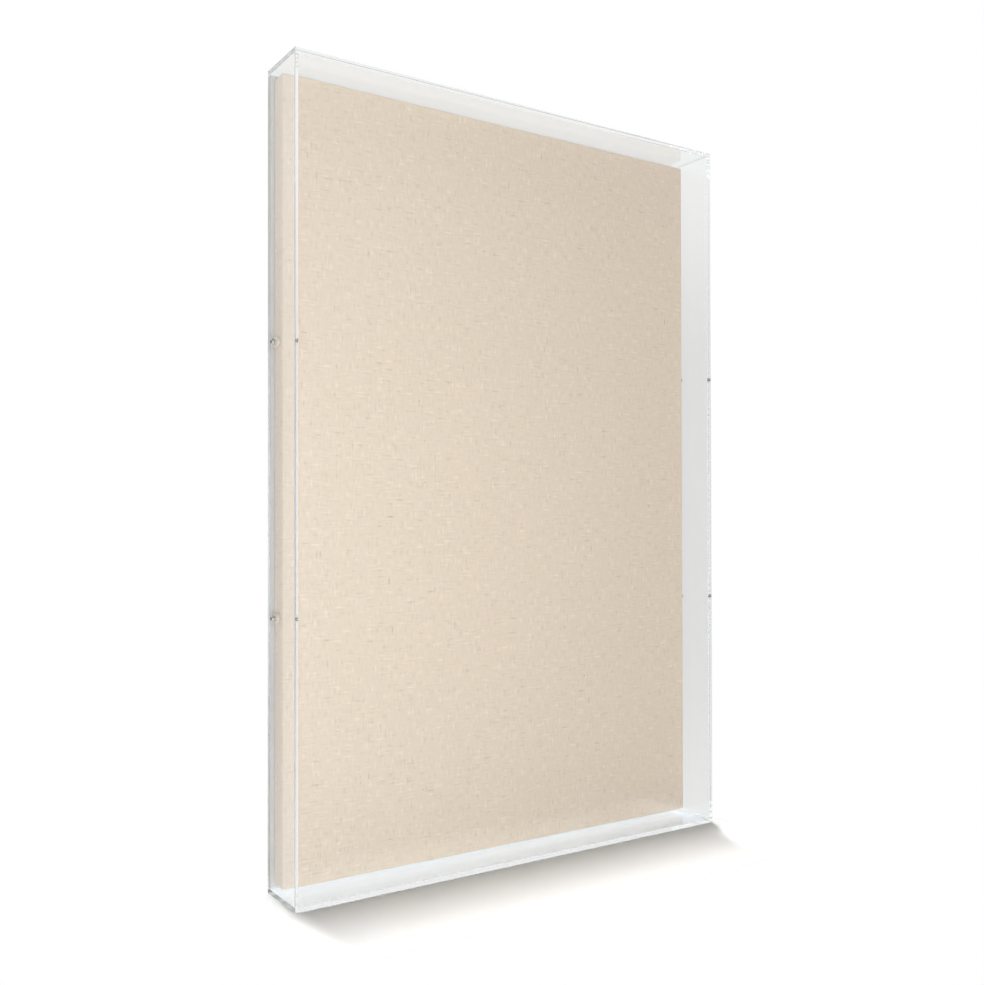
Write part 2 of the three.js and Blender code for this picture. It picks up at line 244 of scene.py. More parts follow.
def nickel_plate(colours):
    # Bright nickel plate over formed steel: a warm grey mirror, a little blurred by faint drawing marks about
    # 0.3 mm apart and by duller patches about 2.5 mm across.
    made, tree = new_material("steel_nickel_plated")
    place = add_node(tree, "TexCoord").outputs["Object"]
    patches = add_node(tree, "TexNoise", {"Vector": place, "Scale": repeats(2.5), "Detail": 3.0})
    rough = add_node(tree, "MapRange", {"Value": patches, "To Min": 0.15, "To Max": 0.3})
    marks = add_node(tree, "TexNoise", {"Vector": place, "Scale": repeats(1 / 3)})
    bump = add_node(tree, "Bump", {"Height": marks, "Strength": 0.06, "Distance": 0.1 * MM})
    shader = add_node(tree, "BsdfPrincipled", {
        "Base Color": colours.steel,
        "Metallic": 1.0,
        "Roughness": rough,
        "Normal": bump,
    })
    add_node(tree, "OutputMaterial", {"Surface": shader})
    return made


def socket_painted_shade(colours):
    # Bare steel in the sockets, where little plate reaches, with painted shade: a dull dark grey that stands
    # for the shade deep in a socket, with blotches about 0.5 mm across.
    made, tree = new_material("steel_socket_painted_shade")
    place = add_node(tree, "TexCoord").outputs["Object"]
    blotches = add_node(tree, "TexNoise", {"Vector": place, "Scale": repeats(0.5)})
    rough = add_node(tree, "MapRange", {"Value": blotches, "To Min": 0.45, "To Max": 0.65})
    shader = add_node(tree, "BsdfPrincipled", {
        "Base Color": colours.socket,
        "Metallic": 1.0,
        "Roughness": rough,
    })
    add_node(tree, "OutputMaterial", {"Surface": shader})
    return made


def natural_nylon(colours):
    # Natural nylon, turned: a milky white that lets a little light in, with fine tool marks about 0.4 mm
    # across.
    made, tree = new_material("nylon_turned")
    place = add_node(tree, "TexCoord").outputs["Object"]
    marks = add_node(tree, "TexNoise", {"Vector": place, "Scale": repeats(0.4)})
    rough = add_node(tree, "MapRange", {"Value": marks, "To Min": 0.35, "To Max": 0.5})
    bump = add_node(tree, "Bump", {"Height": marks, "Strength": 0.08, "Distance": 0.1 * MM})
    shader = add_node(tree, "BsdfPrincipled", {
        "Base Color": colours.nylon,
        "Roughness": rough,
        "IOR": 1.53,
        "Subsurface Weight": 0.3,
        "Subsurface Radius": (1.0, 0.9, 0.8),
        "Subsurface Scale": 2 * MM,
        "Normal": bump,
    })
    add_node(tree, "OutputMaterial", {"Surface": shader})
    return made


def faced_hardboard(colours):
    # White-faced hardboard: pressed fibre under a coat of satin paint, with the paint's fine orange peel,
    # about 1.5 mm across, and faint scuffs about 70 mm across.
    made, tree = new_material("hardboard_painted_white")
    place = add_node(tree, "TexCoord").outputs["Object"]
    peel = add_node(tree, "TexNoise", {"Vector": place, "Scale": repeats(1.54), "Detail": 2.0})
    scuffs = add_node(tree, "TexNoise", {"Vector": place, "Scale": repeats(71.43), "Detail": 4.0})
    worn = add_node(tree, "MapRange", {
        "Value": scuffs, "From Min": 0.3, "From Max": 0.75, "To Min": 1.0, "To Max": 0.95,
    })
    tone = add_node(tree, "HueSaturation", {"Color": colours.plate, "Value": worn})
    rough = add_node(tree, "MapRange", {"Value": scuffs, "To Min": 0.5, "To Max": 0.68})
    bump = add_node(tree, "Bump", {"Height": peel, "Strength": 0.12, "Distance": 0.2 * MM})
    shader = add_node(tree, "BsdfPrincipled", {"Base Color": tone, "Roughness": rough, "Normal": bump})
    add_node(tree, "OutputMaterial", {"Surface": shader})
    return made


def sawn_hardboard(colours):
    # Hardboard as the saw leaves it: a matt dark edge of pressed fibre, with specks about 0.7 mm across.
    made, tree = new_material("hardboard_sawn")
    place = add_node(tree, "TexCoord").outputs["Object"]
    fibre = add_node(tree, "TexNoise", {"Vector": place, "Scale": repeats(0.714), "Detail": 3.0})
    specks = add_node(tree, "MapRange", {
        "Value": fibre, "From Min": 0.35, "From Max": 0.65, "To Min": 0.9, "To Max": 1.1,
    })
    tone = add_node(tree, "HueSaturation", {"Color": colours.sawn, "Value": specks})
    bump = add_node(tree, "Bump", {"Height": fibre, "Strength": 0.3, "Distance": 0.2 * MM})
    shader = add_node(tree, "BsdfPrincipled", {"Base Color": tone, "Roughness": 0.9, "Normal": bump})
    add_node(tree, "OutputMaterial", {"Surface": shader})
    return made


def planed_pine(colours, along):
    # Planed pine, bare: pale wood with growth lines about 4 mm apart, drawn out to 15 times that along the
    # length of the piece.
    made, tree = new_material("pine_planed_along_" + along.lower())
    place = add_node(tree, "TexCoord").outputs["Object"]
    stretch = {"X": (1 / 15, 1, 1), "Z": (1, 1, 1 / 15)}[along]
    grain_place = add_node(tree, "Mapping", {"Vector": place, "Scale": stretch})
    grain = add_node(tree, "TexNoise", {
        "Vector": grain_place, "Scale": repeats(4.27), "Detail": 4.0, "Distortion": 0.5,
    })
    lines = add_node(tree, "MapRange", {
        "Value": grain, "From Min": 0.3, "From Max": 0.7, "To Min": 1.05, "To Max": 0.75,
    })
    tone = add_node(tree, "HueSaturation", {"Color": colours.pine, "Value": lines})
    bump = add_node(tree, "Bump", {"Height": grain, "Strength": 0.2, "Distance": 0.3 * MM})
    shader = add_node(tree, "BsdfPrincipled", {"Base Color": tone, "Roughness": 0.65, "Normal": bump})
    add_node(tree, "OutputMaterial", {"Surface": shader})
    return made


def pulp_board(colours):
    # Grey pulp board: pressed paper fibre, matt, with specks of fibre about 2 mm long.
    made, tree = new_material("pulp_board_pressed")
    place = add_node(tree, "TexCoord").outputs["Object"]
    fibre = add_node(tree, "TexNoise", {"Vector": place, "Scale": repeats(2), "Detail": 4.0})
    specks = add_node(tree, "MapRange", {
        "Value": fibre, "From Min": 0.35, "From Max": 0.65, "To Min": 0.9, "To Max": 1.05,
    })
    tone = add_node(tree, "HueSaturation", {"Color": colours.pulp, "Value": specks})
    bump = add_node(tree, "Bump", {"Height": fibre, "Strength": 0.2, "Distance": 0.2 * MM})
    shader = add_node(tree, "BsdfPrincipled", {"Base Color": tone, "Roughness": 0.92, "Normal": bump})
    add_node(tree, "OutputMaterial", {"Surface": shader})
    return made


def moulded_rubber(colours):
    # Moulded rubber: a dull dark grey with a fine grain about 0.4 mm across and dusty patches about 4.5 mm
    # across.
    made, tree = new_material("rubber_moulded")
    place = add_node(tree, "TexCoord").outputs["Object"]
    grain = add_node(tree, "TexNoise", {"Vector": place, "Scale": repeats(0.4), "Detail": 2.0})
    dust = add_node(tree, "TexNoise", {"Vector": place, "Scale": repeats(4.545), "Detail": 3.0})
    dusty = add_node(tree, "MapRange", {
        "Value": dust, "From Min": 0.35, "From Max": 0.7, "To Min": 0.9, "To Max": 1.25,
    })
    tone = add_node(tree, "HueSaturation", {"Color": colours.rubber, "Value": dusty})
    rough = add_node(tree, "MapRange", {"Value": dust, "To Min": 0.5, "To Max": 0.75})
    bump = add_node(tree, "Bump", {"Height": grain, "Strength": 0.15, "Distance": 0.2 * MM})
    shader = add_node(tree, "BsdfPrincipled", {"Base Color": tone, "Roughness": rough, "Normal": bump})
    add_node(tree, "OutputMaterial", {"Surface": shader})
    return made


def painted_floor(stage):
    # Matt white paint, rolled: the studio floor, with a faint mottle about 60 mm across.
    made, tree = new_material("floor_matt_paint")
    place = add_node(tree, "TexCoord").outputs["Object"]
    mottle = add_node(tree, "TexNoise", {"Vector": place, "Scale": repeats(62.5), "Detail": 3.0})
    uneven = add_node(tree, "MapRange", {"Value": mottle, "To Min": 0.99, "To Max": 1.01})
    tone = add_node(tree, "HueSaturation", {"Color": stage.floor, "Value": uneven})
    shader = add_node(tree, "BsdfPrincipled", {
        "Base Color": tone,
        "Roughness": 0.9,
        "Specular IOR Level": 0.1,
    })
    # The floor runs out softly into the white studio, just outside the place where the shadow falls.
    middle, half, soft = (0, -0.083, 0), (0.3, 0.047, 1), (0.035, 0.1, 1)
    from_middle = add_node(tree, "VectorMath", {0: place, 1: middle}, operation="SUBTRACT")
    off = add_node(tree, "VectorMath", {0: from_middle}, operation="ABSOLUTE")
    past = add_node(tree, "VectorMath", {0: off, 1: half}, operation="SUBTRACT")
    past = add_node(tree, "VectorMath", {0: past, 1: (0, 0, 0)}, operation="MAXIMUM")
    share = add_node(tree, "VectorMath", {0: past, 1: soft}, operation="DIVIDE")
    reach = add_node(tree, "VectorMath", {0: share}, operation="LENGTH")
    fade = add_node(tree, "MapRange", {"Value": reach}, interpolation_type="SMOOTHSTEP")
    clear = add_node(tree, "BsdfTransparent")
    mixed = add_node(tree, "MixShader", {0: fade, 1: shader, 2: clear})
    add_node(tree, "OutputMaterial", {"Surface": mixed})
    return made


def finish_named(name, make, *values):
    """A finish that several pieces share is made once."""
    return bpy.data.materials.get(name) or make(*values)


def add_piece(name, mesh, material, body, nodes):
    """Adds a mesh that stands for the CAD nodes named, rides on a body and takes a finish."""
    piece = bpy.data.objects.new(name, mesh)
    bpy.context.scene.collection.objects.link(piece)
    mesh.materials.clear()
    mesh.materials.append(material)
    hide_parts(*nodes)
    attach(piece, body)
    return piece


def dress_nodes(nodes, material):
    """Gives CAD nodes whose shape is right a finish."""
    for node in nodes:
        mesh = frame["nodes"][node].data
        mesh.materials.clear()
        mesh.materials.append(material)


def soften(mesh, degrees):
    """Smooth shading, apart from edges sharper than an angle."""
    mesh.shade_smooth()
    mesh.set_sharp_from_angle(angle=math.radians(degrees))


def to_mesh(bm, name):
    bmesh.ops.recalc_face_normals(bm, faces=bm.faces)
    mesh = bpy.data.meshes.new(name)
    bm.to_mesh(mesh)
    bm.free()
    return mesh


def whole_faces(mesh):
    """A mesh opened for editing, with doubled points joined and each flat face in one."""
    bm = bmesh.new()
    bm.from_mesh(mesh)
    bmesh.ops.remove_doubles(bm, verts=bm.verts, dist=WELD)
    bmesh.ops.dissolve_limit(bm, angle_limit=math.radians(1), verts=bm.verts, edges=bm.edges)
    return bm


def sharp_edges(bm, degrees):
    return [edge for edge in bm.edges
            if edge.is_manifold and edge.calc_face_angle() > math.radians(degrees)]


def round_edges(bm, edges, width, segments):
    bmesh.ops.bevel(bm, geom=edges, offset=width, segments=segments, profile=0.5, affect="EDGES",
                    clamp_overlap=True)


def rounded_copy(node, width):
    """A copy of a CAD node's mesh with its sharp edges rounded."""
    bm = whole_faces(frame["nodes"][node].data)
    round_edges(bm, sharp_edges(bm, 40), width, 2)
    mesh = to_mesh(bm, node + "_rounded")
    soften(mesh, 20)
    return mesh


def carved(mesh, tools, name, thickness=0):
    """A mesh with the tool meshes cut out of it. A sheet is first thickened inwards."""
    scene = bpy.context.scene
    block = bpy.data.objects.new(name, mesh)
    scene.collection.objects.link(block)
    if thickness:
        sheet = block.modifiers.new("sheet", "SOLIDIFY")
        sheet.thickness = thickness
        sheet.offset = -1
    cutters = []
    for tool in tools:
        cutter = bpy.data.objects.new("cutter", tool)
        scene.collection.objects.link(cutter)
        cut = block.modifiers.new("cut", "BOOLEAN")
        cut.operation = "DIFFERENCE"
        cut.solver = "EXACT"
        cut.object = cutter
        cutters.append(cutter)
    graph = bpy.context.evaluated_depsgraph_get()
    made = bpy.data.meshes.new_from_object(block.evaluated_get(graph))
    made.name = name
    for used in [block, *cutters]:
        bpy.data.objects.remove(used)
    return made


def drills(screws, radius):
    """Round bars along the whole of each screw, as one mesh, to cut the holes with."""
    bm = bmesh.new()
    for node in screws:
        low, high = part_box(node)
        size = high - low
        reach = max(size) / 2 + 1 * MM
        bar = turned([(0, -reach), (radius, -reach), (radius, reach), (0, reach)], "bar")
        turn = Matrix.Rotation(math.pi / 2 if size.x > size.y else 0, 4, "Z")
        bar.transform(Matrix.Translation((low + high) / 2) @ turn)
        bm.from_mesh(bar)
    return to_mesh(bm, "drills")


def block_mesh(low, high, name):
    bm = bmesh.new()
    bmesh.ops.create_cube(bm, size=1)
    bmesh.ops.scale(bm, vec=high - low, verts=bm.verts)
    bmesh.ops.translate(bm, vec=(low + high) / 2, verts=bm.verts)
    return to_mesh(bm, name)


def skin(rings, looped=False):
    """One surface through rings of points. A ring of one point closes the surface there."""
    points = []
    starts = []
    for ring in rings:
        starts.append(len(points))
        points.extend(ring)
    pairs = list(zip(range(len(rings) - 1), range(1, len(rings))))
    if looped:
        pairs.append((len(rings) - 1, 0))
    faces = []
    for here, there in pairs:
        near, far = len(rings[here]), len(rings[there])
        for at in range(max(near, far)):
            after = at + 1
            face = [starts[here] + at % near, starts[here] + after % near,
                    starts[there] + after % far, starts[there] + at % far]
            faces.append(list(dict.fromkeys(face)))
    bm = bmesh.new()
    made = [bm.verts.new(point) for point in points]
    for face in faces:
        bm.faces.new([made[corner] for corner in face])
    return bm


def full_turn(count):
    return [2 * math.pi * at / count for at in range(count)]


def ring_about(y, turns, radius_at):
    """A ring of points about Y, with the radius that a function gives for each turn."""
    return [Vector((radius_at(turn) * math.cos(turn), y, radius_at(turn) * math.sin(turn))) for turn in turns]


def circle(radius, y, turns):
    return ring_about(y, turns, lambda turn: radius)


def turned(profile, name):
    """A piece turned about Y from a profile of (radius, y), in metres."""
    turns = full_turn(FACETS)
    rings = [circle(radius, y, turns) if radius > 0 else [Vector((0, y, 0))] for radius, y in profile]
    mesh = to_mesh(skin(rings), name)
    soften(mesh, 35)
    return mesh


def dome(radius, flat, side, top, steps):
    """The rounded edge of a turned profile, from its side up to its flat top."""
    turns = [math.pi / 2 * step / steps for step in range(steps + 1)]
    return [(flat + (radius - flat) * math.cos(turn), side + (top - side) * math.sin(turn)) for turn in turns]


class SHADOWBOX_OT_stage(bpy.types.Operator):
    """Makes the camera, the floor and the soft white studio light."""

    bl_idname = "shadow_box.stage"
    bl_label = "Studio and Camera"

    def execute(self, context):
        stage = context.scene.shadow_box_stage
        self.camera(context)
        floor = self.floor(context, stage)
        self.studio(context, stage)
        self.light(context, stage, floor)
        context.scene.view_settings.view_transform = "Standard"
        # Light runs far inside the clear sheets before it leaves at an edge, and stays sharp there.
        context.scene.cycles.max_bounces = 96
        context.scene.cycles.glossy_bounces = 96
        context.scene.cycles.transmission_bounces = 96
        context.scene.cycles.blur_glossy = 0
        return {"FINISHED"}

    def camera(self, context):
        """Stands to the left of the front, a little under the middle of the box."""
        data = bpy.data.cameras.new("camera")
        data.sensor_width = 36
        data.lens = 39.156
        data.shift_y = 0.01631
        data.clip_start = 0.01
        azimuth, elevation, roll = (math.radians(angle) for angle in (-33.6636, -0.5441, 0.099))
        back = Vector((math.sin(azimuth) * math.cos(elevation), -math.cos(azimuth) * math.cos(elevation),
                       math.sin(elevation)))
        level = Vector((math.cos(azimuth), math.sin(azimuth), 0))
        up = back.cross(level)
        right = level * math.cos(roll) - up * math.sin(roll)
        turn = Matrix((right, back.cross(right), back)).transposed()
        camera = bpy.data.objects.new("camera", data)
        camera.matrix_world = Matrix.Translation((-0.75763, -1.09497, 0.41429)) @ turn.to_4x4()
        context.scene.collection.objects.link(camera)
        context.scene.camera = camera

    def floor(self, context, stage):
        """A round floor just under the foot, which leaves room for the foot light."""
        bm = bmesh.new()
        bmesh.ops.create_circle(bm, cap_ends=True, segments=96, radius=1)
        bmesh.ops.translate(bm, vec=(0, 0, -0.6 * MM), verts=bm.verts)
        mesh = to_mesh(bm, "floor")
        mesh.materials.append(painted_floor(stage))
        floor = bpy.data.objects.new("floor", mesh)
        context.scene.collection.objects.link(floor)
        return floor

    def light(self, context, stage, floor):
        """Lights the floor, the foot, the front and the top of the box."""
        # The long overhead light stands behind the box, in line with the camera, so the shadow falls forward.
        overhead = self.area_light(context, "overhead_light", stage.overhead, (0.4, 2.9), (0.787, 1.181, 20))
        overhead.rotation_euler = (0, 0, math.radians(-33.66))
        footprint = (PANEL[1].x - PANEL[0].x, SIDE_WALL[1].y - PANEL[0].y)
        under = (0, (SIDE_WALL[1].y + PANEL[0].y) / 2, -0.3 * MM)
        foot = self.area_light(context, "foot_light", stage.foot, footprint, under)
        foot.rotation_euler = (math.pi, 0, 0)
        foot.data.color = (0.65, 0.81, 1.0)
        # Two narrow lights keep the shadow in front of the box, clear of its left and right ends.
        floor_lights = [overhead]
        for side, size, place in (("left", (0.06, 0.25), (-0.35, -0.035, 0.25)),
                                  ("right", (0.09, 0.12), (0.335, -0.145, 0.25))):
            watts = stage.beside * size[0] * size[1]
            beside = self.area_light(context, side + "_beside_light", watts, size, place)
            beside.data.spread = math.radians(16)
            floor_lights.append(beside)
        # The clear cover only dims these in the real studio, so no hot spots from them show in the sheets.
        for lamp in floor_lights:
            lamp.visible_glossy = False
            lamp.visible_transmission = False
        front = self.front_light(context, stage)
        top = self.area_light(context, "top_light", stage.top, (1.4, 1.0), (0, 0.55, 2.2))
        # Flags keep the front and top lights off the floor.
        flagged = bpy.data.collections.new("flagged_floor")
        flagged.objects.link(floor)
        flagged.collection_objects[0].light_linking.link_state = "EXCLUDE"
        front.light_linking.receiver_collection = flagged
        top.light_linking.receiver_collection = flagged

    def front_light(self, context, stage):
        """Brightest in the middle and without an edge, so the clear front shows only a soft glow."""
        light = self.area_light(context, "front_light", stage.front, (1.1, 1.6), (-0.45, -0.8, 0.38))
        light.rotation_euler = (math.pi / 2, 0, 0)
        light.visible_glossy = False
        light.data.color = (0.78, 0.9, 1.0)
        light.data.use_nodes = True
        tree = light.data.node_tree
        spot = add_node(tree, "NewGeometry").outputs["Parametric"]
        from_middle = add_node(tree, "VectorMath", {0: spot, 1: (1, 1, 0), 2: (-0.5, -0.5, 0)},
                               operation="MULTIPLY_ADD")
        reach = add_node(tree, "VectorMath", {0: from_middle}, operation="LENGTH")
        fade = add_node(tree, "MapRange", {
            "Value": reach, "From Min": 0.05, "From Max": 0.5, "To Min": 1.0, "To Max": 0.0,
        }, interpolation_type="SMOOTHSTEP")
        tree.links.new(fade.outputs["Result"], tree.nodes["Emission"].inputs["Strength"])
        return light

    def area_light(self, context, name, watts, size, place):
        data = bpy.data.lights.new(name, "AREA")
        data.shape = "RECTANGLE"
        data.size, data.size_y = size
        data.energy = watts
        light = bpy.data.objects.new(name, data)
        light.location = place
        light.visible_camera = False
        context.scene.collection.objects.link(light)
        return light

    def studio(self, context, stage):
        """White walls round the box, dimmer low down and in front on the right, under a dim ceiling."""
        world = bpy.data.worlds.new("white_studio")
        world.use_nodes = True
        tree = world.node_tree
        tree.nodes.clear()
        place = add_node(tree, "TexCoord").outputs["Generated"]
        axes = add_node(tree, "SeparateXYZ", {0: place})
        height = axes.outputs["Z"]
        away = add_node(tree, "Math", {0: axes.outputs["Y"], 1: -1.0}, operation="MULTIPLY")
        # The angle from straight in front, in radians, growing to the right.
        turn = add_node(tree, "Math", {0: axes.outputs["X"], 1: away}, operation="ARCTAN2")
        # Each row is what the brightness follows, where it starts and stops to change, and its value there.
        # The far floor is nearly as bright as the floor at the box, so the clear front shows no edge there.
        far_floor = (height, -0.4, -0.1, 1.2, 1.0)
        low_walls = (height, 0.13, 0.34, 0.8, 0.97)
        ceiling = (height, 0.42, 0.74, 1.0, 0.1)
        front_right = (turn, 0.2, 0.6, 1.0, 0.8)
        right = (turn, 1.5, 2.0, 1.0, 1.25)
        light = stage.walls
        for value, start, end, low, high in (far_floor, low_walls, ceiling, front_right, right):
            ramp = add_node(tree, "MapRange", {
                "Value": value, "From Min": start, "From Max": end, "To Min": low, "To Max": high,
            }, interpolation_type="SMOOTHSTEP")
            light = add_node(tree, "Math", {0: light, 1: ramp}, operation="MULTIPLY")
        path = add_node(tree, "LightPath")
        seen = add_node(tree, "Mix", {0: path.outputs["Is Camera Ray"], 2: light, 3: 1.0})
        sky = add_node(tree, "Background", {"Color": (1, 1, 1, 1), "Strength": seen})
        add_node(tree, "OutputWorld", {"Surface": sky})
        context.scene.world = world


class SHADOWBOX_OT_cover(bpy.types.Operator):
    """Makes the clear cover as one welded tray with holes for the side screws."""

    bl_idname = "shadow_box.cover"
    bl_label = "Clear Cover"

    def execute(self, context):
        sizes = context.scene.shadow_box_sizes
        low = PANEL[0]
        high = Vector((PANEL[1].x, SIDE_WALL[1].y, PANEL[1].z))
        sheet = PANEL[1].y - PANEL[0].y
        hollow_low = low + Vector((sheet, sheet, sheet))
        hollow_high = high + Vector((-sheet, sheet, -sheet))
        tools = [block_mesh(hollow_low, hollow_high, "hollow"), drills(SIDE_SCREWS, sizes.side_hole)]
        bm = whole_faces(carved(block_mesh(low, high, "tray"), tools, "tray_hollow"))
        outer = [edge for edge in sharp_edges(bm, 60) if edge.is_convex]
        round_edges(bm, outer, sizes.arris, 3)
        mesh = to_mesh(bm, "clear_cover")
        material = cast_acrylic(context.scene.shadow_box_colours)
        add_piece("clear_cover", mesh, material, "box",
                  ["front_panel", "left_wall", "right_wall", "top_wall", "bottom_wall"])
        return {"FINISHED"}


class SHADOWBOX_OT_linen(bpy.types.Operator):
    """Makes the linen: one cloth over the slab's front and sides, pleated at the corners and turned in."""

    bl_idname = "shadow_box.linen"
    bl_label = "Linen"

    def execute(self, context):
        sizes = context.scene.shadow_box_sizes
        holes = [drills(SIDE_SCREWS, sizes.side_hole), drills(BACK_SCREWS, sizes.back_hole)]
        mesh = carved(self.cloth(sizes), holes, "linen_cloth", sizes.cloth_thickness)
        material = plain_weave_linen(context.scene.shadow_box_colours)
        piece = add_piece("linen_cloth", mesh, material, "box", ["linen_wrap"])
        return {"FINISHED"}

    def steps(self, start, end, sizes, fine, coarse):
        """Places across a face: close together over the rounded edges and the pleats, wider between."""
        fine_step = 1.5 * MM
        edge = sorted({radius * (1 - math.tan(math.radians(45 - turn)))
                       for radius in (sizes.cloth_fold, sizes.back_fold) for turn in (0, 15, 30, 45)})
        while edge[-1] < fine:
            edge.append(edge[-1] + fine_step)
        span = end - start
        middle = span - 2 * edge[-1]
        count = max(1, round(middle / coarse))
        between = [edge[-1] + middle * step / count for step in range(1, count)]
        places = [*edge, *between, *[span - place for place in reversed(edge)]]
        return [start + place for place in places]

    def cloth(self, sizes):
        low, high = CLOTH
        depth = high.y - low.y
        xs = self.steps(low.x, high.x, sizes, 32 * MM, 12 * MM)
        ys = self.steps(low.y, high.y, sizes, 4 * MM, 1.5 * MM)
        zs = self.steps(low.z, high.z, sizes, 4 * MM, 12 * MM)
        left_xs = [x for x in xs if x <= low.x + sizes.turn_in]
        right_xs = [x for x in xs if x >= high.x - sizes.turn_in]
        low_zs = [z for z in zs if z <= low.z + sizes.turn_in]
        high_zs = [z for z in zs if z >= high.z - sizes.turn_in]
        middle_zs = [z for z in zs if low_zs[-1] <= z <= high_zs[0]]
        bm = bmesh.new()
        sheet = bm.loops.layers.uv.new("cloth")

        def patch(across, along, place, flat):
            """Part of the cloth: where its points are on the slab, and where they lie in the flat cloth."""
            rows = [[bm.verts.new(self.rounded(place(a, b), low, high, sizes)) for b in along]
                    for a in across]
            for i in range(len(across) - 1):
                for j in range(len(along) - 1):
                    corners = [(i, j), (i + 1, j), (i + 1, j + 1), (i, j + 1)]
                    face = bm.faces.new([rows[a][b] for a, b in corners])
                    for loop, (a, b) in zip(face.loops, corners):
                        loop[sheet].uv = flat(across[a], along[b])

        def behind(x, z):
            return (x, high.y, z)

        patch(xs, zs, lambda x, z: (x, low.y, z), lambda x, z: (x, z))
        patch(xs, ys, lambda x, y: (x, y, high.z), lambda x, y: (x, high.z + y - low.y))
        patch(xs, ys, lambda x, y: (x, y, low.z), lambda x, y: (x, low.z - y + low.y))
        patch(ys, zs, lambda y, z: (low.x, y, z), lambda y, z: (low.x - y + low.y, z))
        patch(ys, zs, lambda y, z: (high.x, y, z), lambda y, z: (high.x + y - low.y, z))
        patch(xs, low_zs, behind, lambda x, z: (x, low.z - depth - (z - low.z)))
        patch(xs, high_zs, behind, lambda x, z: (x, high.z + depth + (high.z - z)))
        patch(left_xs, middle_zs, behind, lambda x, z: (low.x - depth - (x - low.x), z))
        patch(right_xs, middle_zs, behind, lambda x, z: (high.x + depth + (high.x - x), z))
        bmesh.ops.remove_doubles(bm, verts=bm.verts, dist=2 * WELD)
        mesh = to_mesh(bm, "linen_cloth")
        mesh.shade_smooth()
        return mesh

    def rounded(self, point, low, high, sizes):
        """A point of the plain box, moved to the rounded edges and raised over the pleats."""
        ridge_width, waver_height, wavers_in_a_metre = 1.5 * MM, 0.12 * MM, 9
        point = Vector(point)
        share = (point.y - low.y) / (high.y - low.y)
        radius = sizes.cloth_fold + (sizes.back_fold - sizes.cloth_fold) * share
        inner = Vector([min(max(value, least + radius), most - radius)
                        for value, least, most in zip(point, low, high)])
        out = point - inner
        moved = inner + out.normalized() * radius
        on_top_or_foot = abs(out.z) > 0.99 * radius and abs(out.y) < radius
        if on_top_or_foot:
            from_end = min(point.x - low.x, high.x - point.x)
            past_fold = (point.y - low.y) - from_end
            rise = min(max(past_fold / ridge_width + 0.5, 0), 1)
            moved.z += math.copysign(sizes.pleat * rise, out.z) - math.copysign(sizes.pleat, out.z)
        if point.y == low.y:
            moved.y += waver_height * (noise.noise(moved * wavers_in_a_metre) + 0.5)
        return moved


class SHADOWBOX_OT_slab_core(bpy.types.Operator):
    """Finishes the wood and board under the linen."""

    bl_idname = "shadow_box.slab_core"
    bl_label = "Slab Core"

    def execute(self, context):
        sizes = context.scene.shadow_box_sizes
        colours = context.scene.shadow_box_colours
        dress_nodes(["mount_board"], pulp_board(colours))
        across, upright = planed_pine(colours, "X"), planed_pine(colours, "Z")
        dress_nodes(["cross_brace"], across)
        dress_nodes([f"corner_block_{end}_{side}" for end in ENDS for side, _ in SIDES], upright)
        radius = sizes.back_fold - sizes.cloth_thickness
        for node, axis, end, finish in (("left_rail", "x", 0, upright), ("right_rail", "x", 1, upright),
                                        ("bottom_rail", "z", 0, across), ("top_rail", "z", 1, across)):
            add_piece(node + "_eased", self.eased(node, axis, end, radius), finish, "box", [node])
        return {"FINISHED"}

    def eased(self, node, axis, end, radius):
        """A rail whose outer back edge is rounded, where the linen turns in over it."""
        near = 0.1 * MM
        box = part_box(node)
        outer, back = getattr(box[end], axis), box[1].y
        bm = whole_faces(frame["nodes"][node].data)
        edges = [edge for edge in bm.edges if all(abs(corner.co.y - back) < near
                                                  and abs(getattr(corner.co, axis) - outer) < near
                                                  for corner in edge.verts)]
        round_edges(bm, edges, radius, 5)
        return to_mesh(bm, node + "_eased")


